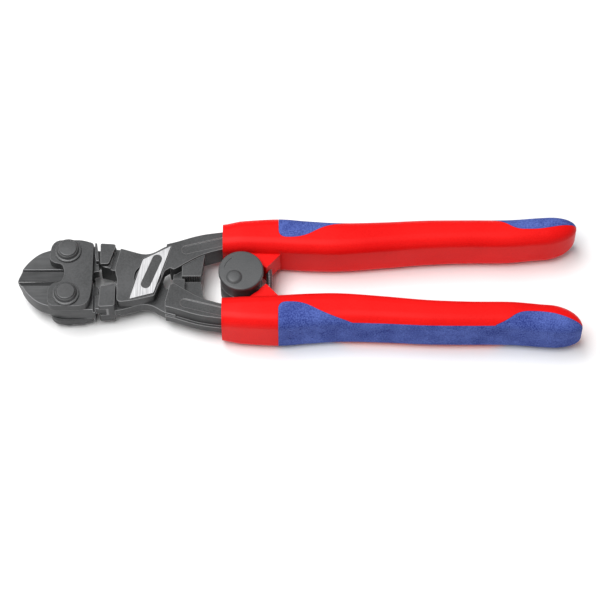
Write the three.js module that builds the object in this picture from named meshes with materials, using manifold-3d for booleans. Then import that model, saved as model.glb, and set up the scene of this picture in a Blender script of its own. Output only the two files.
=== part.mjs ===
// Compact bolt cutters: two short jaws held by strap plates, driven by a pair of half-lapped levers with
// two-part grips, an opening spring and a rotary lock between the handles. Millimetres, +Z up.
// X runs from the jaw tips to the handle ends. The shapes are drawn about the centre rivet (X 0, Y 0)
// and the middle plane (Z 0). The lower half of the tool is the upper half turned over about X.
import * as THREE from "three";
import { mergeVertices } from "three/addons/utils/BufferGeometryUtils.js";
import Module from "manifold-3d";

const wasm = await Module();
wasm.setup();

// Driving dimensions.
const headReach = 46.5; // centre rivet to jaw tips
const handleReach = 153.5; // centre rivet to handle ends
const jawPivot = { x: -28.5, y: 8.8 }; // strap rivet
const tailPivot = { x: -14.4, y: 9.2 }; // jaw tail to lever ear
const lockPivot = { x: 33.2, y: 0 }; // lock axle

const fitGap = 0.3; // between pieces that touch
const pivotPlay = 0.2; // added to fitGap at the strap rivet where the linkage is opened
const slitHalf = 0.12; // half of the slit between the closed cutting edges
const swingGap = 0.7; // jaw tail to lever ear

const jawHalf = 3.1; // half thickness of the jaws
const strapThick = 3.35;
const strapHalfWidth = 13.6;
const rivetShankRadius = 2.9;
const rivetCollarRadius = 4.7;
const rivetTopRadius = 3.1;
const rivetHeadHigh = 2.3;
const tailTop = 5.5; // raised side of the jaw tail
const tailFoot = 1.0; // its other side
const tongueHalf = 1.8; // tongue of the tail, inside the ear
const tongueRadius = 2.7;
const tailPinRadius = 1.9;
const tailPinTop = 5.0;
const tailPinFoot = 3.0;

const leverHalf = 4.3; // half thickness of the levers
const earTop = 6.3; // boss on the ear
const grooveDeep = 1.0;
const centreRivetRadius = 4.5;
const plateThick = 0.5; // marker plate
const plateProud = 0.2;
const armFlange = 1.1; // how much wider one side of the arm is than the other
const flangeFoot = 1.0;
const blockTop = 3.5; // gripping block
const blockFoot = 1.0;
const blockGap = 0.45; // half of the gap between the gripping blocks
const coreHalf = 3.2; // half thickness of the steel core in the grip
const coreEnd = 112;
const coreWidth = 5.2;

const gripStart = 26.5;
const coverThick = 2.0;
const coverSideHalf = 6.8; // half height of the soft cover on the grip's outer side

const knobRadius = 8.0;
const knobTop = 8.6;
const knobRimHigh = 1.7;
const barrelRadius = 7.5;
const studBaseRadius = 2.75;
const studTopRadius = 2.2;
const studHigh = 0.7;
const studPlace = { x: -2.4, y: -2.9 }; // from the lock axle
const lugTop = 1.6; // lug of the upper lever that carries the lock
const lugFoot = -3.6;
const camHigh = 3.0;
const axleRadius = 2.0;
const catchRadius = 1.2;
const catchReach = 4.4; // lock axle to catch pin
const catchPlay = 0.4;
const mouthFlare = 1.1; // the pin leaves the slot on an arc about the centre rivet
const camTurn = Math.PI / 2; // travel of the lock
const bracketHigh = 1.7;
const bracketHalf = 2.4;

const springPlace = 43.2; // centre rivet to the spring's curved centre line
const springRadius = 1.2;
const springHalfAngle = 0.155;
const seatRadius = 2.0;
const seatHigh = 0.9;

// Grip sections: place along X, centre Y, half width and half thickness.
const gripSections = [
  [gripStart, 15.1, 5.7, 8.6],
  [33, 15.6, 6.2, 9.3],
  [47, 15.7, 6.8, 9.5],
  [56, 15.0, 6.7, 9.5],
  [68, 14.5, 6.4, 9.5],
  [84, 15.3, 6.0, 9.4],
  [99, 16.4, 5.7, 9.3],
  [114, 16.8, 5.5, 9.2],
  [129, 16.9, 5.5, 9.1],
  [142, 18.0, 5.5, 8.9],
];
const gripCorner = 4.4; // corner radius of the section
const gripHalfHigh = Math.max(...gripSections.map((section) => section[3]));

const steel = new THREE.MeshStandardMaterial({ color: 0x5a5b5c, roughness: 0.45, metalness: 0.85 });
const brightSteel = new THREE.MeshStandardMaterial({ color: 0xd9dadb, roughness: 0.3, metalness: 0.95 });
const darkPlastic = new THREE.MeshStandardMaterial({ color: 0x4b4d4f, roughness: 0.5, metalness: 0.1 });
const redPlastic = new THREE.MeshStandardMaterial({ color: 0xd9231f, roughness: 0.45, metalness: 0 });
const blueRubber = new THREE.MeshStandardMaterial({ color: 0x3d4f96, roughness: 0.75, metalness: 0 });

// A closed shape from corners [x, y, cut]. Each corner is rounded from cut before it to cut after it,
// or from nearly half its shorter side where that is less.
function rounded(corners) {
  const shape = new THREE.Shape();
  const points = corners.map(([x, y]) => new THREE.Vector2(x, y));
  points.forEach((point, i) => {
    const before = points[(i + points.length - 1) % points.length].clone().sub(point);
    const after = points[(i + 1) % points.length].clone().sub(point);
    const cut = Math.min(corners[i][2] ?? 0, 0.48 * Math.min(before.length(), after.length()));
    const start = point.clone().add(before.setLength(cut));
    const end = point.clone().add(after.setLength(cut));
    if (i === 0) shape.moveTo(start.x, start.y);
    else shape.lineTo(start.x, start.y);
    if (cut > 0) shape.quadraticCurveTo(point.x, point.y, end.x, end.y);
  });
  shape.closePath();
  return shape;
}

function solid(geometry) {
  const bare = geometry.clone();
  bare.deleteAttribute("normal");
  bare.deleteAttribute("uv");
  const merged = mergeVertices(bare, 1e-4);
  return new wasm.Manifold(
    new wasm.Mesh({
      numProp: 3,
      vertProperties: new Float32Array(merged.attributes.position.array),
      triVerts: new Uint32Array(merged.index.array),
    }),
  );
}

function prism(shape, bottom, top, steps = 5) {
  const geometry = new THREE.ExtrudeGeometry(shape, {
    depth: top - bottom,
    bevelEnabled: false,
    curveSegments: steps,
  });
  return solid(geometry.translate(0, 0, bottom));
}

function disc(x, y, radius, bottom, top, sides = 32) {
  const geometry = new THREE.CylinderGeometry(radius, radius, top - bottom, sides);
  geometry.rotateX(Math.PI / 2).translate(x, y, (top + bottom) / 2);
  return solid(geometry);
}

// A turned solid about the vertical line at (x, y), from [radius, z] points between two points on that line.
function turned(x, y, profile, sides = 32) {
  const points = profile.map(([radius, z]) => new THREE.Vector2(radius, z));
  const geometry = new THREE.LatheGeometry(points, sides);
  return solid(geometry.rotateX(Math.PI / 2).translate(x, y, 0));
}

// A long prism along X from a [y, z] profile.
function barAlongX(profile, start, end) {
  const geometry = new THREE.ExtrudeGeometry(rounded(profile), { depth: end - start, bevelEnabled: false });
  geometry.rotateX(Math.PI / 2).rotateZ(Math.PI / 2).translate(start, 0, 0);
  return solid(geometry);
}

function addPiece(parent, name, body, material) {
  const cut = body.getMesh();
  const geometry = new THREE.BufferGeometry();
  geometry.setAttribute("position", new THREE.BufferAttribute(new Float32Array(cut.vertProperties), 3));
  geometry.setIndex(new THREE.BufferAttribute(new Uint32Array(cut.triVerts), 1));
  geometry.computeVertexNormals();
  const mesh = new THREE.Mesh(geometry, material);
  mesh.name = name;
  parent.add(mesh);
}

// ---- head ----

const strapBottom = jawHalf + fitGap;
const strapTop = strapBottom + strapThick;
const strapLeft = jawPivot.x - 6.6;
const strapRight = jawPivot.x + 9.1;
const throatX = jawPivot.x - 0.9; // bottom of the round throat in the strap
const earFront = tailPivot.x - 2.4;
const tailBack = earFront - swingGap;
const tailLean = 0.9; // the tail's end leans away from the ear, and so gives it room to turn
const earLean = 0.3;
const earApex = 2.7; // half the gap between the ears where they join the levers
const tailInner = 2.6;
const tailOuter = 13.0;

function jaw() {
  const edgeEnd = jawPivot.x - 1; // the cutting edge runs from the tip to here
  const tip = -headReach;
  const outline = rounded([
    [tip, slitHalf],
    [edgeEnd, slitHalf],
    [edgeEnd + 1, 1.2],
    [tailBack, tailInner],
    [tailBack - tailLean, tailOuter, 0.6],
    [jawPivot.x + 4, tailOuter, 1],
    [jawPivot.x - 2, tailOuter, 3],
    [jawPivot.x - 10.6, 10, 2.8],
    [tip + 3.6, 6.2, 2.2],
    [tip + 0.3, 0.9, 0.3],
  ]);
  // The raised block keeps clear of the strap's edge as the jaw turns.
  const blockInner = jawPivot.y - 3.2;
  const tailBlock = rounded([
    [strapRight + 3 * fitGap, blockInner],
    [tailBack, blockInner],
    [tailBack - tailLean, tailOuter, 0.6],
    [strapRight + fitGap, tailOuter],
    [strapRight + fitGap, jawPivot.y],
  ]);
  const bevel = [
    [-1, 0.15],
    [slitHalf, 0.15],
    [3.0, 2.1],
    [3.6, jawHalf + 1],
    [-1, jawHalf + 1],
  ];
  const underBevel = bevel.map(([y, z]) => [y, -z]).reverse();
  const tongueReach = rounded([
    [tailBack - 1, tailPivot.y - tongueRadius],
    [tailPivot.x, tailPivot.y - tongueRadius],
    [tailPivot.x, tailPivot.y + tongueRadius],
    [tailBack - 1, tailPivot.y + tongueRadius],
  ]);
  const tongue = prism(tongueReach, -tongueHalf, tongueHalf).add(
    disc(tailPivot.x, tailPivot.y, tongueRadius, -tongueHalf, tongueHalf),
  );
  // The tail's lower side is cut away, so that it rises towards the lever's boss.
  const underTail = rounded([
    [strapRight + fitGap, -1],
    [tailPivot.x + 10, -1],
    [tailPivot.x + 10, tailOuter + 5],
    [strapRight + fitGap, tailOuter + 5],
  ]);
  return prism(outline, -jawHalf, jawHalf, 8)
    .subtract(prism(underTail, -jawHalf - 1, -tailFoot))
    .add(prism(tailBlock, -tailFoot, tailTop))
    .add(tongue)
    .subtract(barAlongX(bevel, tip - 1, edgeEnd))
    .subtract(barAlongX(underBevel, tip - 1, edgeEnd))
    .subtract(disc(jawPivot.x, jawPivot.y, rivetShankRadius + fitGap + pivotPlay, -9, 9))
    .subtract(disc(tailPivot.x, tailPivot.y, tailPinRadius + fitGap, -9, 9));
}

function strap() {
  const outline = rounded([
    [strapLeft, 5.6, 1.2],
    [strapLeft + 2, 4.0, 0.8],
    [throatX - 0.9, 3.6, 1.9],
    [throatX, 0, 1.4],
    [throatX - 0.9, -3.6, 1.9],
    [strapLeft + 2, -4.0, 0.8],
    [strapLeft - 0.2, -6.4, 1.6],
    [strapLeft, -strapHalfWidth, 3],
    [strapRight - 1, -strapHalfWidth, 5.6],
    [strapRight, -5, 2.5],
    [strapRight, 12.2, 1],
    [jawPivot.x + 5, strapHalfWidth, 2],
    [strapLeft + 0.9, strapHalfWidth, 4],
  ]);
  const bore = rivetShankRadius + fitGap;
  return prism(outline, strapBottom, strapTop)
    .subtract(disc(jawPivot.x, jawPivot.y, bore, strapBottom - 1, strapTop + 1))
    .subtract(disc(jawPivot.x, -jawPivot.y, bore, strapBottom - 1, strapTop + 1));
}

function strapRivet() {
  const seat = strapTop + fitGap;
  const top = seat + rivetHeadHigh;
  const half = [
    [rivetShankRadius, seat],
    [rivetCollarRadius, seat],
    [rivetCollarRadius, seat + 0.4],
    [rivetTopRadius + 1.0, seat + 0.7],
    [rivetTopRadius + 0.3, top - 0.3],
    [rivetTopRadius, top],
    [0, top],
  ];
  const under = half.map(([radius, z]) => [radius, -z]).reverse();
  return turned(jawPivot.x, jawPivot.y, [...under, ...half], 28);
}

// ---- levers ----

const lapGap = fitGap / 2;
const armStartX = 8.0;
const earBack = tailPivot.x + 3.0;
const earOverlap = 1.4; // how far the lap layer runs into the ear

function earSolid() {
  const full = rounded([
    [earFront, 4.1, 0.5],
    [earBack, earApex],
    [earBack, 12.1, 1.2],
    [earFront - earLean, 12.4, 0.8],
  ]);
  const boss = rounded([
    [earFront, 4.0, 0.4],
    [tailPivot.x + 0.5, 4.0, 0.8],
    [earBack, 12.0, 1.2],
    [earFront - earLean, 12.4, 0.8],
  ]);
  return prism(full, -leverHalf, leverHalf).add(prism(boss, leverHalf - 1, earTop));
}

// Room in the ear for the jaw's tongue and the tail pin.
function earRoom() {
  const slotHalf = tongueHalf + fitGap;
  const slotRadius = tongueRadius + fitGap;
  const slot = rounded([
    [earFront - 4, tailPivot.y - slotRadius - 1.2],
    [tailPivot.x, tailPivot.y - slotRadius],
    [tailPivot.x, tailPivot.y + slotRadius],
    [earFront - 4, tailPivot.y + slotRadius + 2.4],
  ]);
  const pinRadius = tailPinRadius + fitGap;
  return prism(slot, -slotHalf, slotHalf)
    .add(disc(tailPivot.x, tailPivot.y, slotRadius, -slotHalf, slotHalf))
    .add(disc(tailPivot.x, tailPivot.y, pinRadius, -tailPinFoot - fitGap, tailPinTop + fitGap));
}

// The half-lapped disc of the lever: one layer of the joint, above the middle plane. On its own side it
// runs into the ear over the ear's whole width, so that the lever has no thin neck there.
function lapLayer() {
  const front = tailPivot.x + 3.6;
  const outline = rounded([
    [earBack - earOverlap, earApex + 0.3],
    [front - 0.9, earApex + 0.1],
    [front - 0.4, 0.3],
    [front, -1.0, 0.3],
    [front, -10.6, 2],
    [-5, -9.9, 2],
    [2.5, -7.9, 0.5],
    [6.0, 2.2, 0.3],
    [armStartX + 2, 5],
    [armStartX + 2, 13.6],
    [armStartX - 1.8, 12.4, 1.5],
    [-0.1, 8.4, 3.5],
    [front + 1.4, 11.3, 0.5],
    [earBack - earOverlap, 11.8],
  ]);
  return prism(outline, lapGap, leverHalf);
}

function armOutline(widen) {
  return rounded([
    [armStartX - 1.6, 12.2 + widen],
    [armStartX - 1.6, 10.2],
    [armStartX, 3.4, 0.5],
    [armStartX + 1.3, 2.8, 0.6],
    [18.5, 8.9, 4],
    [gripStart, 11.3, 2],
    [gripStart + 4, 11.8],
    [gripStart + 4, 17.3],
    [gripStart, 17.2 + widen],
    [18.5, 16.1 + widen, 4],
    [armStartX + 2, 13.2 + widen, 1],
  ]);
}

function coreOutline(grow) {
  const low = 12.3 - grow;
  const high = low + coreWidth + 2 * grow;
  return rounded([
    [gripStart + 1, low],
    [84, low + 0.4, 6],
    [coreEnd + grow, low + 2.0],
    [coreEnd + grow, high + 2.0],
    [84, high + 0.4, 6],
    [gripStart + 1, high],
  ]);
}

function grippingBlock() {
  const left = 12.1;
  const block = rounded([
    [left, blockGap],
    [18.8, blockGap],
    [20.2, 9.6],
    [left, 6.4],
  ]);
  const web = rounded([
    [armStartX + 0.9, blockGap + 0.2, 0.4],
    [left + 1, blockGap + 0.2],
    [left + 1, 6.4],
    [armStartX + 0.9, 4.2],
  ]);
  return prism(block, -blockFoot, blockTop).add(prism(web, -blockTop, -blockFoot + 1.2));
}

const platePlace = [
  [-6.2, -9.3, 0.3],
  [2.2, -6.9, 0.3],
  [7.9, 12.3, 0.3],
  [-1.9, 6.8, 0.3],
];

// The marker plate's outline, in its recess when it is grown.
function plateOutline(grow) {
  const centre = [0.5, 0.7];
  const moved = platePlace.map(([x, y, cut]) => {
    const wideX = x + Math.sign(x - centre[0]) * grow;
    const wideY = y + Math.sign(y - centre[1]) * grow;
    return [wideX, wideY, cut];
  });
  return rounded(moved);
}

function lever() {
  const grooveFoot = leverHalf - grooveDeep;
  const groove = rounded([
    [tailPivot.x + 0.7, 1.6],
    [tailPivot.x + 2.3, 1.6],
    [tailPivot.x + 4.8, 13],
    [tailPivot.x + 3.2, 13],
  ]);
  // Room for the other lever's layer, which turns below this one.
  const swingRoom = new THREE.Shape();
  swingRoom.absarc(0, 0, Math.hypot(tailPivot.x + 3.3, 0.4), 0, Math.PI * 2);
  return earSolid()
    .add(lapLayer())
    .subtract(earRoom())
    .subtract(prism(groove, grooveFoot, leverHalf + 0.001))
    .subtract(prism(swingRoom, -leverHalf - 1, lapGap, 10))
    .add(prism(armOutline(0), -leverHalf, leverHalf))
    .add(prism(armOutline(armFlange), flangeFoot, leverHalf))
    .add(grippingBlock())
    .add(prism(coreOutline(0), -coreHalf, coreHalf))
    .subtract(disc(0, 0, centreRivetRadius + fitGap, -leverHalf - 1, leverHalf + 1));
}

// The upper lever's lug carries the lock; its stack of parts stands on one axle.
const camTop = lugFoot - fitGap;
const camFoot = camTop - camHigh;
const knobFoot = lugTop + fitGap;
const bracketTop = camFoot - fitGap;
const bracketFoot = bracketTop - bracketHigh;

function lockLug() {
  const neck = rounded([
    [lockPivot.x - 5, 2],
    [lockPivot.x + 5, 2],
    [lockPivot.x + 5, 14],
    [lockPivot.x - 5, 14],
  ]);
  return disc(lockPivot.x, lockPivot.y, barrelRadius, lugFoot, lugTop, 40)
    .add(prism(neck, lugFoot, coreHalf))
    .subtract(disc(lockPivot.x, lockPivot.y, barrelRadius + fitGap, lugTop, knobTop, 40))
    .subtract(disc(lockPivot.x, lockPivot.y, axleRadius + fitGap, lugFoot - 1, lugTop + 1));
}

// The lower lever's bracket holds the catch pin, which stands in the cam's slot. Drawn as it lies at rest.
function lockBracket() {
  const strip = rounded([
    [lockPivot.x - bracketHalf, -14],
    [lockPivot.x + bracketHalf, -14],
    [lockPivot.x + bracketHalf, lockPivot.y - catchReach + 2, 1.6],
    [lockPivot.x - bracketHalf, lockPivot.y - catchReach + 2, 1.6],
  ]);
  const foot = rounded([
    [lockPivot.x - bracketHalf, -17],
    [lockPivot.x + bracketHalf, -17],
    [lockPivot.x + bracketHalf, -12.6],
    [lockPivot.x - bracketHalf, -12.6],
  ]);
  const pinTop = camTop - 0.6;
  return prism(strip, bracketFoot, bracketTop)
    .add(prism(foot, bracketFoot, 0))
    .add(disc(lockPivot.x, lockPivot.y - catchReach, catchRadius, bracketFoot + 0.2, pinTop, 20));
}

function cam() {
  const slotHalf = catchRadius + catchPlay;
  const mouth = rounded([
    [lockPivot.x - slotHalf - mouthFlare, -barrelRadius - 2],
    [lockPivot.x + slotHalf, -barrelRadius - 2],
    [lockPivot.x + slotHalf, lockPivot.y - catchReach],
    [lockPivot.x - slotHalf, lockPivot.y - catchReach],
  ]);
  // The closed part of the slot runs a quarter turn round the axle from the mouth.
  const from = -Math.PI / 2;
  const channel = new THREE.Shape();
  channel.absarc(lockPivot.x, lockPivot.y, catchReach + slotHalf, from, from + camTurn, false);
  channel.absarc(lockPivot.x, lockPivot.y, catchReach - slotHalf, from + camTurn, from, true);
  channel.closePath();
  const slotTop = camTop - 0.3;
  const endX = lockPivot.x + catchReach;
  return disc(lockPivot.x, lockPivot.y, barrelRadius, camFoot, camTop, 40)
    .subtract(prism(mouth, camFoot - 1, slotTop))
    .subtract(prism(channel, camFoot - 1, slotTop, 12))
    .subtract(disc(lockPivot.x, lockPivot.y - catchReach, slotHalf, camFoot - 1, slotTop, 20))
    .subtract(disc(endX, lockPivot.y, slotHalf, camFoot - 1, slotTop, 20))
    .subtract(disc(lockPivot.x, lockPivot.y, axleRadius + fitGap, camFoot - 1, camTop + 1));
}

function knob() {
  const rimFoot = knobTop - knobRimHigh;
  const body = turned(
    lockPivot.x,
    lockPivot.y,
    [
      [0, knobFoot],
      [barrelRadius, knobFoot],
      [barrelRadius, rimFoot],
      [knobRadius, rimFoot + 0.3],
      [knobRadius, knobTop - 0.4],
      [knobRadius - 0.4, knobTop],
      [0, knobTop],
    ],
    40,
  );
  const stud = turned(
    lockPivot.x + studPlace.x,
    lockPivot.y + studPlace.y,
    [
      [0, knobTop - 0.5],
      [studBaseRadius, knobTop - 0.5],
      [studBaseRadius, knobTop],
      [studTopRadius, knobTop + studHigh],
      [0, knobTop + studHigh],
    ],
    24,
  );
  const socketTop = knobFoot + 3;
  return body
    .add(stud)
    .subtract(disc(lockPivot.x, lockPivot.y, axleRadius + fitGap, knobFoot - 1, socketTop + fitGap));
}

// ---- grips ----

// Centre Y, half width and half thickness of the grip at a place along X.
function gripSectionAt(place) {
  const last = gripSections.length - 1;
  const at = Math.min(place, gripSections[last][0]);
  const next = Math.max(
    1,
    gripSections.findIndex((section) => section[0] >= at),
  );
  const before = gripSections[next - 1][0];
  const share = (at - before) / (gripSections[next][0] - before);
  const [centre, halfWide, halfThick] = [1, 2, 3].map((field) => {
    const values = gripSections.map((section) => new THREE.Vector2(section[0], section[field]));
    return new THREE.SplineCurve(values).getPoint((next - 1 + share) / last).y;
  });
  return [centre, halfWide, Math.min(halfThick, gripHalfHigh)];
}

// The grip's outer form, or the same form drawn inwards by inset, as a loft of rounded rectangles.
function gripForm(inset, startX = gripStart) {
  const roundFrom = gripSections[gripSections.length - 1][0];
  const endX = handleReach - inset;
  const places = [];
  const bodySteps = 15;
  for (let i = 0; i <= bodySteps; i += 1) {
    places.push([startX + ((roundFrom - startX) * i) / bodySteps, 1]);
  }
  const endSteps = 4;
  const endTurn = Math.PI * 0.465; // the rounded end stops short of a point
  for (let i = 1; i <= endSteps; i += 1) {
    const turn = endTurn * (i / endSteps);
    places.push([roundFrom + (endX - roundFrom) * (Math.sin(turn) / Math.sin(endTurn)), Math.cos(turn)]);
  }
  const positions = [];
  const cornerSteps = 3;
  places.forEach(([x, shrink]) => {
    const [centre, halfWide, halfThick] = gripSectionAt(x);
    const wide = (halfWide - inset) * shrink;
    const thick = (halfThick - inset) * (0.35 + 0.65 * shrink);
    const corner = Math.min((gripCorner - inset * 0.5) * shrink, wide * 0.98, thick * 0.98);
    const middle = centre + (x > roundFrom ? (1 - shrink) * 1.2 + (x - roundFrom) * 0.1 : 0);
    for (let quarter = 0; quarter < 4; quarter += 1) {
      const signY = quarter === 0 || quarter === 3 ? 1 : -1;
      const signZ = quarter < 2 ? 1 : -1;
      for (let step = 0; step <= cornerSteps; step += 1) {
        const turn = (Math.PI / 2) * (quarter + step / cornerSteps);
        positions.push(
          x,
          middle + signY * (wide - corner) + Math.cos(turn) * corner,
          signZ * (thick - corner) + Math.sin(turn) * corner,
        );
      }
    }
  });
  const ring = 4 * (cornerSteps + 1);
  const rings = places.length;
  const index = [];
  for (let r = 0; r < rings - 1; r += 1) {
    for (let i = 0; i < ring; i += 1) {
      const a = r * ring + i;
      const b = r * ring + ((i + 1) % ring);
      index.push(a, b, a + ring, b, b + ring, a + ring);
    }
  }
  for (let i = 1; i < ring - 1; i += 1) {
    const last = (rings - 1) * ring;
    index.push(0, i + 1, i);
    index.push(last, last + i, last + i + 1);
  }
  const geometry = new THREE.BufferGeometry();
  geometry.setAttribute("position", new THREE.Float32BufferAttribute(positions, 3));
  geometry.setIndex(index);
  return solid(geometry);
}

// Where the soft cover lies: a patch at the front, one at the rear, and the outer side between them.
function coverRegion(grow) {
  const far = 40;
  const front = rounded([
    [46.5 - grow, far],
    [46.5 - grow, 13.3 - grow, 3.2],
    [62, 13.3 - grow, 3],
    [72, 20.5 - grow, 3],
    [72, far],
  ]);
  const rear = rounded([
    [123.5, far],
    [123.5 - grow, 21.5 - grow, 1.5],
    [127.5 - grow, 17.0 - grow, 2.5],
    [140, 17.2 - grow, 3],
    [handleReach + 4, 22.5 - grow],
    [handleReach + 4, far],
  ]);
  const side = rounded([
    [46.5 - grow, far],
    [46.5 - grow, 17],
    [handleReach - 1, 17],
    [handleReach + 4, 22],
    [handleReach + 4, far],
  ]);
  const sideHalf = coverSideHalf + grow;
  return prism(front, -far, far)
    .add(prism(rear, -far, far))
    .add(prism(side, -sideHalf, sideHalf, 3));
}

// The triangular seat on the grip's inner side, hollowed to clear the lock barrel.
function springNub() {
  const outline = rounded([
    [lockPivot.x + 2.6, 11],
    [lockPivot.x + 2.6, 9],
    [lockPivot.x + 8.9, 3.2, 0.3],
    [lockPivot.x + 14, 9],
    [lockPivot.x + 14, 11],
  ]);
  const clearRadius = knobRadius + 2 * fitGap;
  return prism(outline, -4.6, 4.6).subtract(disc(lockPivot.x, lockPivot.y, clearRadius, -9, 9, 40));
}

function springHole(radius, halfAngle) {
  const path = new THREE.CatmullRomCurve3(
    Array.from({ length: 7 }, (_, i) => {
      const turn = -halfAngle + (2 * halfAngle * i) / 6;
      return new THREE.Vector3(springPlace * Math.cos(turn), springPlace * Math.sin(turn), 0);
    }),
  );
  const section = new THREE.Shape();
  section.absarc(0, 0, radius, 0, Math.PI * 2);
  const geometry = new THREE.ExtrudeGeometry(section, { extrudePath: path, steps: 10, curveSegments: 6 });
  return solid(geometry);
}

function springSeat(outer, inner) {
  const angle = springHalfAngle + 0.012;
  const socket = disc(0, 0, inner, seatHigh - 0.5, seatHigh + 1, 20);
  const seat = disc(0, 0, outer, 0, seatHigh, 24).subtract(socket);
  const turn = (angle * 180) / Math.PI;
  return seat.rotate([90, 0, 0]).translate([springPlace, seatHigh, 0]).rotate([0, 0, turn]);
}

function grip(outer, withLug) {
  const pocket = prism(coreOutline(fitGap), -coreHalf - fitGap, coreHalf + fitGap);
  const region = coverRegion(fitGap);
  const inner = gripForm(coverThick + fitGap);
  const armRoom = rounded([
    [gripStart - 3, 11.3 - 2 * fitGap],
    [gripStart + 4 + fitGap, 11.3 - 2 * fitGap],
    [gripStart + 4 + fitGap, 17.3 + armFlange + fitGap],
    [gripStart - 3, 17.3 + armFlange + 2 * fitGap],
  ]);
  const armRoomHalf = leverHalf + fitGap;
  let body = outer.add(springNub());
  body = body.subtract(region.subtract(inner));
  body = body.subtract(pocket).subtract(prism(armRoom, -armRoomHalf, armRoomHalf));
  const lugRoom = rounded([
    [lockPivot.x - 5 - fitGap, -2],
    [lockPivot.x + 5 + fitGap, -2],
    [lockPivot.x + 5 + fitGap, 17.3],
    [lockPivot.x - 5 - fitGap, 17.3],
  ]);
  const bracketRoom = rounded([
    [lockPivot.x - bracketHalf - fitGap, 0],
    [lockPivot.x + bracketHalf + fitGap, 0],
    [lockPivot.x + bracketHalf + fitGap, 17 + fitGap],
    [lockPivot.x - bracketHalf - fitGap, 17 + fitGap],
  ]);
  body = withLug
    ? body.subtract(prism(lugRoom, lugFoot - fitGap, coreHalf + fitGap))
    : body.subtract(prism(bracketRoom, 0, -bracketFoot + fitGap));
  const seatRoom = springSeat(seatRadius + fitGap, 0).translate([0, 0.001, 0]);
  return body.subtract(springHole(seatRadius + fitGap, springHalfAngle + 0.012)).subtract(seatRoom);
}

// ---- assembly ----

const part = new THREE.Group();
const tool = new THREE.Group();
tool.position.set((headReach - handleReach) / 2, 0, gripHalfHigh);
part.add(tool);
const lowerSide = new THREE.Group();
lowerSide.rotation.x = Math.PI;
tool.add(lowerSide);

const gripOuter = gripForm(0);
const cover = gripOuter.subtract(gripForm(coverThick)).intersect(coverRegion(0));
const plateFoot = leverHalf + plateProud - plateThick;
const plateRecess = prism(plateOutline(fitGap), plateFoot - fitGap, leverHalf + 1);
const tailPin = disc(tailPivot.x, tailPivot.y, tailPinRadius, -tailPinFoot, tailPinTop, 24);
const oneJaw = jaw();
const oneStrap = strap();
const oneRivet = strapRivet();
const oneLever = lever();
const bracketOnLower = lockBracket().rotate([180, 0, 0]);

for (const [side, prefix] of [
  [tool, "upper"],
  [lowerSide, "lower"],
]) {
  const isUpper = prefix === "upper";
  const extras = isUpper ? lockLug() : bracketOnLower;
  const leverBody = oneLever.add(extras);
  addPiece(side, prefix + "_cutting_jaw", oneJaw, steel);
  addPiece(side, (isUpper ? "top" : "bottom") + "_strap_plate", oneStrap, steel);
  addPiece(side, prefix + "_strap_rivet", oneRivet, steel);
  addPiece(side, prefix + "_tail_pin", tailPin, steel);
  addPiece(side, prefix + "_lever", isUpper ? leverBody.subtract(plateRecess) : leverBody, steel);
  addPiece(side, prefix + "_grip", grip(gripOuter, isUpper), redPlastic);
  addPiece(side, prefix + "_soft_cover", cover, blueRubber);
  addPiece(side, prefix + "_spring_seat", springSeat(seatRadius, springRadius + fitGap), steel);
}

const rivetTop = plateFoot - fitGap;
addPiece(tool, "centre_rivet", disc(0, 0, centreRivetRadius, -leverHalf, rivetTop, 36), steel);
addPiece(tool, "marker_plate", prism(plateOutline(0), plateFoot, plateFoot + plateThick), brightSteel);
addPiece(tool, "lock_knob", knob(), darkPlastic);
addPiece(tool, "lock_cam", cam(), steel);
addPiece(tool, "lock_axle", disc(lockPivot.x, lockPivot.y, axleRadius, camFoot, knobFoot + 3, 24), steel);
addPiece(tool, "opening_spring", springHole(springRadius, springHalfAngle), steel);

export default part;
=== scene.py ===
# Compact bolt cutters, lying closed on a pale floor. Places are in millimetres from the centre rivet and the
# middle plane, and place() turns them into the frame's metres.
import math

import bpy
from mathutils import Matrix, Vector


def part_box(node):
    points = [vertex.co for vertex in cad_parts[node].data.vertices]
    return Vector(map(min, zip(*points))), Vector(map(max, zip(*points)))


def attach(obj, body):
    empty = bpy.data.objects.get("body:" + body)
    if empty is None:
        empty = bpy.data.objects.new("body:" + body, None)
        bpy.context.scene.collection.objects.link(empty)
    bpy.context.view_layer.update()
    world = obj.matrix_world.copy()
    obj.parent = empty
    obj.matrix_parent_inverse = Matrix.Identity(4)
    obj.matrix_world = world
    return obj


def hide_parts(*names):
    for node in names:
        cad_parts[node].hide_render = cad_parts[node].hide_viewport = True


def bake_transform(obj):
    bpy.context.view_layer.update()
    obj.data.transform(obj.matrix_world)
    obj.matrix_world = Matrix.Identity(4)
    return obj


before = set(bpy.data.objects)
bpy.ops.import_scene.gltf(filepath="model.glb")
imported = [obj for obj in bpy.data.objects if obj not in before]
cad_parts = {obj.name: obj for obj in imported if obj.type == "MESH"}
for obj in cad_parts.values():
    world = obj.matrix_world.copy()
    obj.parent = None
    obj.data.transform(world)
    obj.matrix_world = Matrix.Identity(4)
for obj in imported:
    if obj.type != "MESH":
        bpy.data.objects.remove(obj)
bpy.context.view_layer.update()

mm = 0.001
rivetLow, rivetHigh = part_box("centre_rivet")
gripLow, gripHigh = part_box("upper_grip")
axleLow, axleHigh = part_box("lock_axle")
strapRivetLow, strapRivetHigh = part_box("upper_strap_rivet")
middle = Vector(
    (
        (rivetLow[0] + rivetHigh[0]) / 2,
        (rivetLow[1] + rivetHigh[1]) / 2,
        (gripLow[2] + gripHigh[2]) / 2,
    )
)
lockX = ((axleLow[0] + axleHigh[0]) / 2 - middle.x) / mm
strapRivetX = ((strapRivetLow[0] + strapRivetHigh[0]) / 2 - middle.x) / mm
strapRivetY = ((strapRivetLow[1] + strapRivetHigh[1]) / 2 - middle.y) / mm


def place(x, y, z):
    return middle + Vector((x, y, z)) * mm




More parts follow.
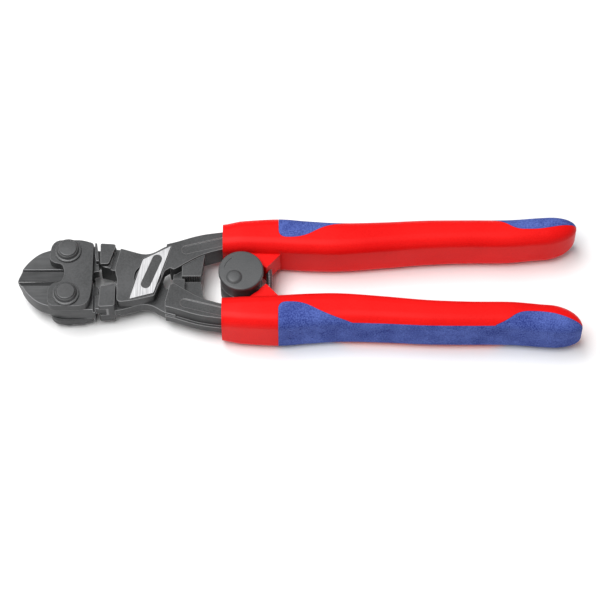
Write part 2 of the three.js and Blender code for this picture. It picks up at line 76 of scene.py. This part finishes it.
def deselectAll():
    if bpy.context.mode != "OBJECT":
        bpy.ops.object.mode_set(mode="OBJECT")
    bpy.ops.object.select_all(action="DESELECT")


def take(piece):
    deselectAll()
    piece.select_set(True)
    bpy.context.view_layer.objects.active = piece


def applyPlace(piece):
    take(piece)
    bpy.ops.object.transform_apply(location=True, rotation=True, scale=True)


def faceOut(piece):
    take(piece)
    bpy.ops.object.mode_set(mode="EDIT")
    bpy.ops.mesh.select_all(action="SELECT")
    bpy.ops.mesh.normals_make_consistent(inside=False)
    bpy.ops.object.mode_set(mode="OBJECT")


# A closed outline from corners (x, y, cut), each rounded by its cut.
def roundedOutline(corners, steps=6):
    points = []
    for number, corner in enumerate(corners):
        here = Vector(corner[:2])
        before = Vector(corners[number - 1][:2]) - here
        after = Vector(corners[(number + 1) % len(corners)][:2]) - here
        wanted = corner[2] if len(corner) > 2 else 0
        reach = min(wanted, 0.48 * before.length, 0.48 * after.length)
        if reach == 0:
            points.append(here)
            continue
        start = here + before.normalized() * reach
        end = here + after.normalized() * reach
        for step in range(steps + 1):
            t = step / steps
            points.append((1 - t) ** 2 * start + 2 * t * (1 - t) * here + t * t * end)
    return points


# A slot with round ends between two points.
def slotOutline(start, end, width, steps=10):
    a = Vector(start)
    b = Vector(end)
    along = math.atan2(b.y - a.y, b.x - a.x)
    points = []
    for hub, first in ((b, -math.pi / 2), (a, math.pi / 2)):
        for step in range(steps + 1):
            turn = along + first + math.pi * step / steps
            points.append(hub + Vector((math.cos(turn), math.sin(turn))) * width / 2)
    return points


def slab(name, outline, foot, top):
    deselectAll()
    bpy.ops.mesh.primitive_circle_add(vertices=len(outline), radius=mm, fill_type="NGON")
    piece = bpy.context.object
    piece.name = name
    for vertex, point in zip(piece.data.vertices, outline):
        vertex.co = place(point.x, point.y, foot)
    bpy.ops.object.mode_set(mode="EDIT")
    bpy.ops.mesh.select_all(action="SELECT")
    bpy.ops.mesh.extrude_region_move(TRANSFORM_OT_translate={"value": (0, 0, (top - foot) * mm)})
    bpy.ops.object.mode_set(mode="OBJECT")
    faceOut(piece)
    return piece


# A round piece grown from its foot, ring by ring, through [radius, z] steps.
def turned(name, x, y, profile, sides=56):
    deselectAll()
    radius, z = profile[0]
    bpy.ops.mesh.primitive_circle_add(
        vertices=sides, radius=radius * mm, fill_type="NGON", location=place(x, y, z)
    )
    piece = bpy.context.object
    piece.name = name
    bpy.ops.object.mode_set(mode="EDIT")
    bpy.ops.mesh.select_all(action="SELECT")
    for nextRadius, nextZ in profile[1:]:
        bpy.ops.mesh.extrude_region_move(TRANSFORM_OT_translate={"value": (0, 0, (nextZ - z) * mm)})
        ratio = nextRadius / radius
        bpy.ops.transform.resize(value=(ratio, ratio, 1), center_override=place(x, y, nextZ))
        radius, z = nextRadius, nextZ
    bpy.ops.object.mode_set(mode="OBJECT")
    applyPlace(piece)
    faceOut(piece)
    return piece


def combine(piece, tool, operation="DIFFERENCE"):
    take(piece)
    modifier = piece.modifiers.new("fit", "BOOLEAN")
    modifier.operation = operation
    modifier.solver = "EXACT"
    modifier.object = tool
    bpy.ops.object.modifier_apply(modifier=modifier.name)
    bpy.data.objects.remove(tool, do_unlink=True)
    return piece


def softenEdges(piece, width, segments=2, angle=32):
    take(piece)
    modifier = piece.modifiers.new("edges", "BEVEL")
    modifier.width = width * mm
    modifier.segments = segments
    modifier.limit_method = "ANGLE"
    modifier.angle_limit = math.radians(angle)
    modifier.use_clamp_overlap = True
    bpy.ops.object.modifier_apply(modifier=modifier.name)
    evenShade(piece, 38)
    return piece


# Flat faces with hard edges, and curved walls smooth.
def crispShade(piece, angle):
    take(piece)
    bpy.ops.object.shade_flat()
    bpy.ops.object.shade_smooth_by_angle(angle=math.radians(angle), keep_sharp_edges=False)


# Smooth over the small bevels, with the large faces kept flat.
def evenShade(piece, angle):
    take(piece)
    bpy.ops.object.shade_smooth_by_angle(angle=math.radians(angle))
    weighting = piece.modifiers.new("shade", "WEIGHTED_NORMAL")
    weighting.keep_sharp = True
    weighting.weight = 80
    bpy.ops.object.modifier_apply(modifier=weighting.name)


# A working copy of a CAD node. Its flat faces are only joined where its edges are going to be beveled.
def fromNode(node, name, joinFaces=True):
    piece = bpy.data.objects.new(name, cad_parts[node].data.copy())
    bpy.context.scene.collection.objects.link(piece)
    piece.data.materials.clear()
    take(piece)
    bpy.ops.object.mode_set(mode="EDIT")
    bpy.ops.mesh.select_all(action="SELECT")
    bpy.ops.mesh.remove_doubles(threshold=0.002 * mm)
    if joinFaces:
        bpy.ops.mesh.dissolve_limited(angle_limit=math.radians(0.6))
    bpy.ops.object.mode_set(mode="OBJECT")
    bpy.ops.mesh.customdata_custom_splitnormals_clear()
    return piece


# Turned over about the long axis, as the lower half is to the upper.
def turnedOver(piece, name):
    twin = bpy.data.objects.new(name, piece.data.copy())
    bpy.context.scene.collection.objects.link(twin)
    turnOver = Matrix.Translation(middle) @ Matrix.Rotation(math.pi, 4, "X") @ Matrix.Translation(-middle)
    twin.data.transform(turnOver)
    return twin


def dress(piece, material, body, slotName, *nodes):
    piece.data.materials.clear()
    piece.data.materials.append(material)
    if body:
        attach(piece, body)
    if nodes:
        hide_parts(*nodes)




def tones(nodes, links, source, dark, light):
    node = nodes.new("ShaderNodeValToRGB")
    links.new(source, node.inputs["Fac"])
    node.color_ramp.elements[0].position = 0.36
    node.color_ramp.elements[0].color = (*dark, 1)
    node.color_ramp.elements[1].position = 0.64
    node.color_ramp.elements[1].color = (*light, 1)
    return node.outputs["Color"]


def finish(name, look):
    material = bpy.data.materials.new(name)
    material.use_nodes = True
    nodes, links = material.node_tree.nodes, material.node_tree.links
    shader = nodes["Principled BSDF"]
    shader.inputs["Metallic"].default_value = look["metallic"]
    shader.inputs["Specular IOR Level"].default_value = look.get("specular", 0.5)
    where = nodes.new("ShaderNodeTexCoord")
    turn = nodes.new("ShaderNodeMapping")
    turn.inputs["Rotation"].default_value = (0, 0, math.radians(look.get("turn", 0)))
    turn.inputs["Scale"].default_value = look.get("stretch", (1, 1, 1))
    links.new(where.outputs["Object"], turn.inputs["Vector"])
    broad = nodes.new("ShaderNodeTexNoise")
    broad.inputs["Scale"].default_value = look["broadScale"]
    broad.inputs["Detail"].default_value = 5
    fine = nodes.new("ShaderNodeTexNoise")
    fine.inputs["Scale"].default_value = look["fineScale"]
    fine.inputs["Detail"].default_value = 3
    links.new(where.outputs["Object"], broad.inputs["Vector"])
    links.new(turn.outputs["Vector"], fine.inputs["Vector"])
    tone = nodes.new("ShaderNodeMix")
    tone.inputs["Factor"].default_value = look.get("fineShare", 0.5)
    links.new(broad.outputs["Fac"], tone.inputs["A"])
    links.new(fine.outputs["Fac"], tone.inputs["B"])
    colour = tones(nodes, links, tone.outputs["Result"], look["dark"], look["light"])
    if "edge" in look:
        roundEdge = nodes.new("ShaderNodeBevel")
        roundEdge.samples = 8
        roundEdge.inputs["Radius"].default_value = look["edge"] * mm
        facing = nodes.new("ShaderNodeNewGeometry")
        apart = nodes.new("ShaderNodeVectorMath")
        apart.operation = "DISTANCE"
        links.new(roundEdge.outputs["Normal"], apart.inputs[0])
        links.new(facing.outputs["Normal"], apart.inputs[1])
        wear = nodes.new("ShaderNodeMapRange")
        wear.inputs["From Min"].default_value = 0.1
        wear.inputs["From Max"].default_value = 0.5
        wear.inputs["To Max"].default_value = look["wearMost"]
        links.new(apart.outputs["Value"], wear.inputs["Value"])
        blend = nodes.new("ShaderNodeMix")
        blend.data_type = "RGBA"
        links.new(wear.outputs["Result"], blend.inputs["Factor"])
        links.new(colour, blend.inputs[6])
        blend.inputs[7].default_value = (*look["worn"], 1)
        colour = blend.outputs[2]
    links.new(colour, shader.inputs["Base Color"])
    rough = nodes.new("ShaderNodeMapRange")
    rough.inputs["To Min"].default_value = look["rough"][0]
    rough.inputs["To Max"].default_value = look["rough"][1]
    links.new(fine.outputs["Fac"], rough.inputs["Value"])
    links.new(rough.outputs["Result"], shader.inputs["Roughness"])
    relief = nodes.new("ShaderNodeBump")
    relief.inputs["Strength"].default_value = look["bump"]
    relief.inputs["Distance"].default_value = look.get("bumpHigh", 0.05) * mm
    links.new(fine.outputs["Fac"], relief.inputs["Height"])
    if "edge" in look:
        links.new(roundEdge.outputs["Normal"], relief.inputs["Normal"])
    links.new(relief.outputs["Normal"], shader.inputs["Normal"])
    return material


looks = {
    "burnished steel": {
        "dark": (0.036, 0.037, 0.038),
        "light": (0.072, 0.073, 0.075),
        "worn": (0.3, 0.3, 0.305),
        "wearMost": 0.85,
        "metallic": 0.35,
        "rough": (0.42, 0.6),
        "broadScale": 90,
        "fineScale": 1700,
        "bump": 0.35,
        "specular": 0.4,
        "edge": 0.42,
    },
    "ground steel": {
        "dark": (0.036, 0.037, 0.038),
        "light": (0.078, 0.079, 0.081),
        "worn": (0.36, 0.36, 0.37),
        "metallic": 0.4,
        "rough": (0.38, 0.55),
        "broadScale": 110,
        "fineScale": 900,
        "stretch": (0.12, 1, 1),
        "bump": 0.3,
        "specular": 0.4,
        "edge": 0.4,
        "wearMost": 0.85,
    },
    "rivet steel": {
        "dark": (0.042, 0.043, 0.044),
        "light": (0.07, 0.071, 0.073),
        "worn": (0.34, 0.34, 0.345),
        "metallic": 0.4,
        "rough": (0.34, 0.5),
        "broadScale": 150,
        "fineScale": 2200,
        "bump": 0.2,
        "specular": 0.45,
        "edge": 0.24,
        "wearMost": 0.9,
    },
    "brushed band": {
        "dark": (0.36, 0.36, 0.37),
        "light": (0.6, 0.6, 0.61),
        "metallic": 0.25,
        "rough": (0.25, 0.5),
        "broadScale": 60,
        "fineScale": 2600,
        "fineShare": 0.75,
        "turn": -20,
        "stretch": (1, 0.06, 1),
        "bump": 0.25,
    },
    "red moulding": {
        "dark": (0.7, 0.005, 0.005),
        "light": (0.82, 0.011, 0.01),
        "metallic": 0,
        "rough": (0.3, 0.44),
        "broadScale": 45,
        "fineScale": 2400,
        "bump": 0.25,
        "bumpHigh": 0.03,
        "specular": 0.08,
    },
    "blue soft rubber": {
        "dark": (0.024, 0.04, 0.2),
        "light": (0.1, 0.15, 0.46),
        "metallic": 0,
        "rough": (0.58, 0.8),
        "specular": 0.08,
        "broadScale": 130,
        "fineScale": 2100,
        "fineShare": 0.6,
        "bump": 0.7,
        "bumpHigh": 0.08,
    },
    "grey knob": {
        "dark": (0.055, 0.057, 0.059),
        "light": (0.08, 0.082, 0.084),
        "metallic": 0.1,
        "rough": (0.36, 0.5),
        "broadScale": 70,
        "fineScale": 2500,
        "bump": 0.4,
        "specular": 0.4,
        "edge": 0.25,
        "worn": (0.16, 0.162, 0.165),
        "wearMost": 0.7,
    },
    "spring wire": {
        "dark": (0.16, 0.16, 0.17),
        "light": (0.3, 0.3, 0.31),
        "metallic": 0.85,
        "rough": (0.25, 0.4),
        "broadScale": 300,
        "fineScale": 1500,
        "bump": 0.15,
    },
}
materials = {name: finish(name, look) for name, look in looks.items()}
print("materials:", len(materials))


view = {
    "aim": Vector((0.0006, -0.0073, 0.0095)),
    "distance": 0.9,
    "elevation": 60,
    "lens": 152,
}
rise = math.radians(view["elevation"])
camera = bpy.data.objects.new("camera", bpy.data.cameras.new("camera"))
bpy.context.scene.collection.objects.link(camera)
camera.data.lens = view["lens"]
camera.data.sensor_width = 36
camera.location = view["aim"] + view["distance"] * Vector((0, -math.cos(rise), math.sin(rise)))
camera.rotation_euler = (math.pi / 2 - rise, 0, 0)
bpy.context.scene.camera = camera


def areaLight(name, power, size, location, target=(0, 0, 0)):
    lamp = bpy.data.lights.new(name, "AREA")
    lamp.energy = power
    lamp.shape = "RECTANGLE"
    lamp.size, lamp.size_y = size
    holder = bpy.data.objects.new(name, lamp)
    bpy.context.scene.collection.objects.link(holder)
    holder.location = location
    holder.rotation_euler = (Vector(target) - Vector(location)).to_track_quat("-Z", "Y").to_euler()


areaLight("overhead", 13.5, (1.0, 0.6), (-0.3, -0.02, 0.95))
areaLight("front fill", 0.25, (1.2, 0.5), (0.1, -0.9, 0.45))
bpy.context.scene.view_settings.view_transform = "Standard"
world = bpy.data.worlds.new("room")
bpy.context.scene.world = world
world.use_nodes = True
world.node_tree.nodes["Background"].inputs["Color"].default_value = (1, 1, 1, 1)
world.node_tree.nodes["Background"].inputs["Strength"].default_value = 0.3

floorLook = {
    "dark": (0.9, 0.9, 0.9),
    "light": (0.93, 0.93, 0.93),
    "metallic": 0,
    "rough": (0.4, 0.5),
    "specular": 0.3,
    "broadScale": 3,
    "fineScale": 40,
    "bump": 0,
}
deselectAll()
bpy.ops.mesh.primitive_plane_add(size=8, location=(0, 0, 0))
floor = bpy.context.object
floor.name = "floor"
floor.data.materials.append(finish("pale floor", floorLook))
print("stage set")


headEdges = {"facet": 24, "strap": 0.42, "pin": 0.2}
for side in ("upper", "lower"):
    jawPiece = fromNode(side + "_cutting_jaw", side + "_jaw", False)
    crispShade(jawPiece, headEdges["facet"])
    dress(
        jawPiece,
        materials["ground steel"],
        side + "_jaw",
        "jaw_steel",
        side + "_cutting_jaw",
    )
    pin = fromNode(side + "_tail_pin", side + "_tail_pin_head")
    softenEdges(pin, headEdges["pin"])
    dress(pin, materials["rivet steel"], side + "_half", "rivet_steel", side + "_tail_pin")
for side in ("top", "bottom"):
    strapPiece = fromNode(side + "_strap_plate", side + "_strap")
    softenEdges(strapPiece, headEdges["strap"], 3)
    dress(
        strapPiece,
        materials["burnished steel"],
        "straps",
        "strap_steel",
        side + "_strap_plate",
    )

# [radius, height] of the upper half, from inside the shank to the flat top
rivet = {
    "profile": [
        [2.9, -1],
        [2.9, 7.05],
        [4.5, 7.05],
        [4.7, 7.2],
        [4.7, 7.4],
        [4.5, 7.55],
        [4.12, 7.6],
        [4.05, 7.7],
        [3.7, 8.3],
        [3.55, 8.62],
        [3.4, 8.7],
        [3.32, 8.95],
        [3.18, 9.17],
        [2.95, 9.3],
        [0.3, 9.33],
    ],
}
for side, sign in (("upper", 1), ("lower", -1)):
    head = turned(side + "_rivet", strapRivetX, sign * strapRivetY, rivet["profile"])
    other = turnedOver(head, side + "_rivet_under")
    other.data.transform(Matrix.Translation((0, 2 * sign * strapRivetY * mm, 0)))
    combine(head, other, "UNION")
    evenShade(head, 28)
    dress(head, materials["rivet steel"], "straps", "rivet_steel", side + "_strap_rivet")
print("head done")


panel = {
    "start": (13.4, 10.95),
    "end": (28.5, 14.9),
    "width": 3.3,
    "deep": 0.35,
}
leverTop = 4.3
serration = {"count": 7, "first": 12.9, "pitch": 0.85, "wide": 0.35, "deep": 0.35}
for side, sign in (("upper", 1), ("lower", -1)):
    lever = fromNode(side + "_lever", side + "_arm", False)
    start = (panel["start"][0], sign * panel["start"][1])
    end = (panel["end"][0], sign * panel["end"][1])
    recess = slab("recess", slotOutline(start, end, panel["width"]), leverTop - panel["deep"], leverTop + 1)
    combine(lever, recess)
    for number in range(serration["count"]):
        left = serration["first"] + number * serration["pitch"]
        groove = slab(
            "groove",
            roundedOutline(
                [
                    (left, -sign * 0.2),
                    (left + serration["wide"], -sign * 0.2),
                    (left + serration["wide"] / 2, sign * (0.45 + serration["deep"])),
                ]
            ),
            -3.6,
            3.6,
        )
        combine(lever, groove)
    crispShade(lever, headEdges["facet"])
    dress(lever, materials["burnished steel"], side + "_half", "lever_steel", side + "_lever")

centrePin = fromNode("centre_rivet", "centre_rivet_body")
softenEdges(centrePin, 0.2)
dress(centrePin, materials["rivet steel"], "lower_half", "rivet_steel", "centre_rivet")

band = {
    "start": (-0.6, -3.3),
    "end": (3.2, 7.1),
    "width": 3.5,
    "floorTop": 4.12,
    "floorFoot": 4.02,
}
bandPiece = fromNode("marker_plate", "band")
combine(bandPiece, slab("recess", slotOutline(band["start"], band["end"], band["width"]), 3.5, 6))
softenEdges(bandPiece, 0.08)
dress(bandPiece, materials["brushed band"], "upper_half", "polished_steel", "marker_plate")
bandFloor = slab(
    "band_floor",
    slotOutline(band["start"], band["end"], band["width"] + 0.1),
    band["floorFoot"],
    band["floorTop"],
)
dress(bandFloor, materials["burnished steel"], "upper_half", "lever_steel")
print("levers done")


coverShape = {
    "far": 40,
    "end": 157,
    "sideHalf": 6.8,
    "steps": 10,
}
visualInset = 0.03
gripShape = {
    "startX": 26.5,
    "roundFrom": 142,
    "endX": 153.45,
    "corner": 4.4,
    # place along X, centre Y, half width, half thickness
    "sections": [
        (26.5, 15.1, 5.7, 8.6),
        (33, 15.6, 6.2, 9.3),
        (47, 15.7, 6.8, 9.5),
        (56, 15.0, 6.7, 9.5),
        (68, 14.5, 6.4, 9.5),
        (84, 15.3, 6.0, 9.4),
        (99, 16.4, 5.7, 9.3),
        (114, 16.8, 5.5, 9.2),
        (129, 16.9, 5.5, 9.1),
        (142, 18.0, 5.5, 8.9),
    ],
    "lengthCuts": 90,
    "cornerSteps": 8,
    "endTurn": math.pi * 0.465,
    "coverThick": 2.0,
    "coverGap": 0.07,
    "bodyShare": 0.84,
    "halfHigh": 9.5,
}


def throughPoints(values, number, share):
    last = len(values) - 1
    before = values[max(number - 1, 0)]
    here = values[number]
    after = values[min(number + 1, last)]
    beyond = values[min(number + 2, last)]
    leave = (after - before) / 2
    arrive = (beyond - here) / 2
    cubic = 2 * here - 2 * after + leave + arrive
    square = -3 * here + 3 * after - 2 * leave - arrive
    return cubic * share**3 + square * share**2 + leave * share + here


def gripSectionAt(x):
    sections = gripShape["sections"]
    at = min(max(x, sections[0][0]), sections[-1][0])
    number = 0
    while number < len(sections) - 2 and sections[number + 1][0] < at:
        number += 1
    share = (at - sections[number][0]) / (sections[number + 1][0] - sections[number][0])
    centreY, halfWide, halfThick = (
        throughPoints([section[field] for section in sections], number, share) for field in (1, 2, 3)
    )
    return centreY, halfWide, min(halfThick, gripShape["halfHigh"])


def gripForm(name, inset):
    sides = 4 * (gripShape["cornerSteps"] + 1)
    deselectAll()
    bpy.ops.mesh.primitive_cylinder_add(vertices=sides, radius=1, depth=1, end_fill_type="NGON")
    piece = bpy.context.object
    piece.name = name
    for edge in piece.data.edges:
        ends = [piece.data.vertices[index].co.z for index in edge.vertices]
        edge.select = abs(ends[0] - ends[1]) > 0.5
    for vertex in piece.data.vertices:
        vertex.select = False
    for polygon in piece.data.polygons:
        polygon.select = False
    bpy.context.tool_settings.mesh_select_mode = (False, True, False)
    bpy.ops.object.mode_set(mode="EDIT")
    bpy.ops.mesh.subdivide(number_cuts=gripShape["lengthCuts"])
    bpy.ops.object.mode_set(mode="OBJECT")
    bodyShare = gripShape["bodyShare"]
    roundFrom = gripShape["roundFrom"]
    endX = gripShape["endX"] - inset
    endTurn = gripShape["endTurn"]
    for vertex in piece.data.vertices:
        share = vertex.co.z + 0.5
        turnNumber = round(math.atan2(vertex.co.y, vertex.co.x) / (2 * math.pi / sides)) % sides
        quarter, step = divmod(turnNumber, gripShape["cornerSteps"] + 1)
        if share <= bodyShare:
            x = gripShape["startX"] + (roundFrom - gripShape["startX"]) * share / bodyShare
            shrink = 1
        else:
            turn = endTurn * (share - bodyShare) / (1 - bodyShare)
            x = roundFrom + (endX - roundFrom) * math.sin(turn) / math.sin(endTurn)
            shrink = math.cos(turn)
        centreY, halfWide, halfThick = gripSectionAt(x)
        wide = (halfWide - inset) * shrink
        thick = (halfThick - inset) * (0.35 + 0.65 * shrink)
        corner = min((gripShape["corner"] - inset * 0.5) * shrink, wide * 0.98, thick * 0.98)
        if x > roundFrom:
            centreY += (1 - shrink) * 1.2 + (x - roundFrom) * 0.1
        signY = 1 if quarter in (0, 3) else -1
        signZ = 1 if quarter < 2 else -1
        turn = math.pi / 2 * (quarter + step / gripShape["cornerSteps"])
        vertex.co = place(
            x,
            centreY + signY * (wide - corner) + math.cos(turn) * corner,
            signZ * (thick - corner) + math.sin(turn) * corner,
        )
    faceOut(piece)
    return piece


# Where the soft cover lies: a patch at the front, one at the rear, and the outer side between them.
def coverRegion(grow):
    far = coverShape["far"]
    end = coverShape["end"]
    front = slab(
        "front",
        roundedOutline(
            [
                (46.5 - grow, far),
                (46.5 - grow, 13.3 - grow, 3.2),
                (55, 13.3 - grow, 4),
                (63.5, 18.3 - grow, 5),
                (76, 21.4 - grow, 4),
                (76, far),
            ],
            coverShape["steps"],
        ),
        -far,
        far,
    )
    rear = slab(
        "rear",
        roundedOutline(
            [
                (121.5, far),
                (121.5 - grow, 21.9 - grow, 2),
                (126.5 - grow, 20.4 - grow, 3),
                (131.5 - grow, 16.9 - grow, 4),
                (141, 17.0 - grow, 5),
                (end, 21.5 - grow),
                (end, far),
            ],
            coverShape["steps"],
        ),
        -far,
        far,
    )
    side = slab(
        "side",
        roundedOutline([(46.5 - grow, far), (46.5 - grow, 17), (141, 17), (end, 21.5 - grow), (end, far)]),
        -coverShape["sideHalf"] - grow,
        coverShape["sideHalf"] + grow,
    )
    combine(front, side, "UNION")
    combine(front, rear, "UNION")
    return front


nub = {
    "outline": [(2.6, 11), (2.6, 9), (8.9, 3.2, 0.4), (14, 9), (14, 11)],
    "halfHigh": 4.6,
    "clearance": 8.6,
}
seam = {"x": 47.2, "wide": 0.28, "deep": 0.3}

redForm = gripForm("upper_handle", visualInset)
combine(redForm, coverRegion(gripShape["coverGap"]))
combine(redForm, gripForm("core", gripShape["coverThick"] + 0.1), "UNION")
nubOutline = [(lockX + corner[0], *corner[1:]) for corner in nub["outline"]]
nubPiece = slab("nub", roundedOutline(nubOutline), -nub["halfHigh"], nub["halfHigh"])
barrelRoom = turned("room", lockX, 0, [[nub["clearance"], -9], [nub["clearance"], 9]], 80)
combine(nubPiece, barrelRoom)
combine(redForm, nubPiece, "UNION")
seamCut = slab(
    "seam",
    roundedOutline(
        [
            (seam["x"], 0),
            (seam["x"] + seam["wide"], 0),
            (seam["x"] + seam["wide"], 8.9 + seam["deep"]),
            (seam["x"], 8.9 + seam["deep"]),
        ]
    ),
    -8,
    8,
)
combine(redForm, seamCut)

blueForm = gripForm("upper_cover", visualInset)
combine(blueForm, coverRegion(0), "INTERSECT")
combine(blueForm, gripForm("core", gripShape["coverThick"]))

redLower = turnedOver(redForm, "lower_handle")
blueLower = turnedOver(blueForm, "lower_cover")
dimple = {
    "radius": 0.38,
    "places": [(50.6, 3.6), (50.6, -1.2), (54.2, 4.6), (54.2, 1.6), (54.2, -2.6), (58.4, 2.2), (58.4, -1.8)],
}
for x, z in dimple["places"]:
    centreY, halfWide, halfThick = gripSectionAt(x)
    deselectAll()
    bpy.ops.mesh.primitive_uv_sphere_add(
        segments=14, ring_count=8, radius=dimple["radius"] * mm, location=place(x, -centreY - halfWide, z)
    )
    dot = bpy.context.object
    applyPlace(dot)
    combine(blueLower, dot)

for side, red, blue in (("upper", redForm, blueForm), ("lower", redLower, blueLower)):
    softenEdges(red, 0.28, 2, 40)
    softenEdges(blue, 0.22, 2, 40)
    dress(red, materials["red moulding"], side + "_half", "grip_hard", side + "_grip")
    dress(blue, materials["blue soft rubber"], side + "_half", "grip_soft", side + "_soft_cover")
print("grips done")


knobShape = {
    "profile": [
        [7.5, 1.9],
        [7.5, 6.9],
        [7.62, 7.05],
        [8.0, 7.2],
        [8.0, 8.05],
        [7.93, 8.3],
        [7.75, 8.5],
        [7.45, 8.6],
        [0.3, 8.6],
    ],
    "stud": [[2.9, 8.3], [2.9, 8.62], [2.75, 8.8], [2.3, 9.1], [2.15, 9.24], [1.9, 9.3], [0.3, 9.3]],
    "studPlace": (-2.4, -2.9),
    "mark": {"radius": 5.9, "from": 122, "to": 170, "width": 0.36, "deep": 0.25},
}
knob = turned("lock_disc", lockX, 0, knobShape["profile"], 96)
studX = lockX + knobShape["studPlace"][0]
stud = turned("stud", studX, knobShape["studPlace"][1], knobShape["stud"], 48)
combine(knob, stud, "UNION")
mark = knobShape["mark"]
markSteps = 16
markOutline = []
for rim, order in ((0.5, range(markSteps + 1)), (-0.5, range(markSteps, -1, -1))):
    for step in order:
        turn = math.radians(mark["from"] + (mark["to"] - mark["from"]) * step / markSteps)
        reach = mark["radius"] + rim * mark["width"]
        markOutline.append(Vector((lockX + reach * math.cos(turn), reach * math.sin(turn))))
combine(knob, slab("mark", markOutline, 8.6 - mark["deep"], 9.5))
evenShade(knob, 32)
dress(knob, materials["grey knob"], "lock", "knob_plastic", "lock_knob")
for node, name in (("lock_cam", "cam"), ("lock_axle", "axle")):
    steelPiece = fromNode(node, name)
    softenEdges(steelPiece, 0.15)
    dress(steelPiece, materials["burnished steel"], "lock", "lever_steel", node)
for side in ("upper", "lower"):
    seat = fromNode(side + "_spring_seat", side + "_seat")
    softenEdges(seat, 0.12)
    dress(seat, materials["burnished steel"], side + "_half", "spring_steel", side + "_spring_seat")

# A fine coil, wound straight and then laid along the arc between its seats.
coil = {"radius": 0.86, "wire": 0.3, "turns": 19, "steps": 18, "place": 43.2, "halfAngle": 0.152}
coilLong = 2 * coil["halfAngle"] * coil["place"]
pitch = (coilLong - 2 * coil["wire"]) / coil["turns"]
deselectAll()
bpy.ops.mesh.primitive_circle_add(vertices=8, radius=coil["wire"], rotation=(math.pi / 2, 0, 0))
spring = bpy.context.object
spring.name = "spring_coil"
bpy.ops.object.transform_apply(location=True, rotation=True, scale=True)
for vertex in spring.data.vertices:
    vertex.co.x += coil["radius"]
wind = spring.modifiers.new("wind", "SCREW")
wind.axis = "Z"
wind.screw_offset = pitch
wind.iterations = coil["turns"]
wind.steps = coil["steps"]
wind.render_steps = coil["steps"]
wind.use_merge_vertices = False
take(spring)
bpy.ops.object.modifier_apply(modifier=wind.name)
bpy.ops.object.mode_set(mode="EDIT")
bpy.context.tool_settings.mesh_select_mode = (True, False, False)
bpy.ops.mesh.select_all(action="DESELECT")
bpy.ops.mesh.select_non_manifold()
bpy.ops.mesh.edge_face_add()
bpy.ops.object.mode_set(mode="OBJECT")
for vertex in spring.data.vertices:
    across, out, along = vertex.co
    turn = (along - coilLong / 2 + coil["wire"]) / coil["place"]
    reach = coil["place"] + across
    vertex.co = place(reach * math.cos(turn), reach * math.sin(turn), out)
faceOut(spring)
bpy.ops.object.shade_smooth_by_angle(angle=math.radians(50))
dress(spring, materials["spring wire"], None, "spring_steel")
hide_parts("opening_spring")
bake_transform(spring)
print("lock and spring done")
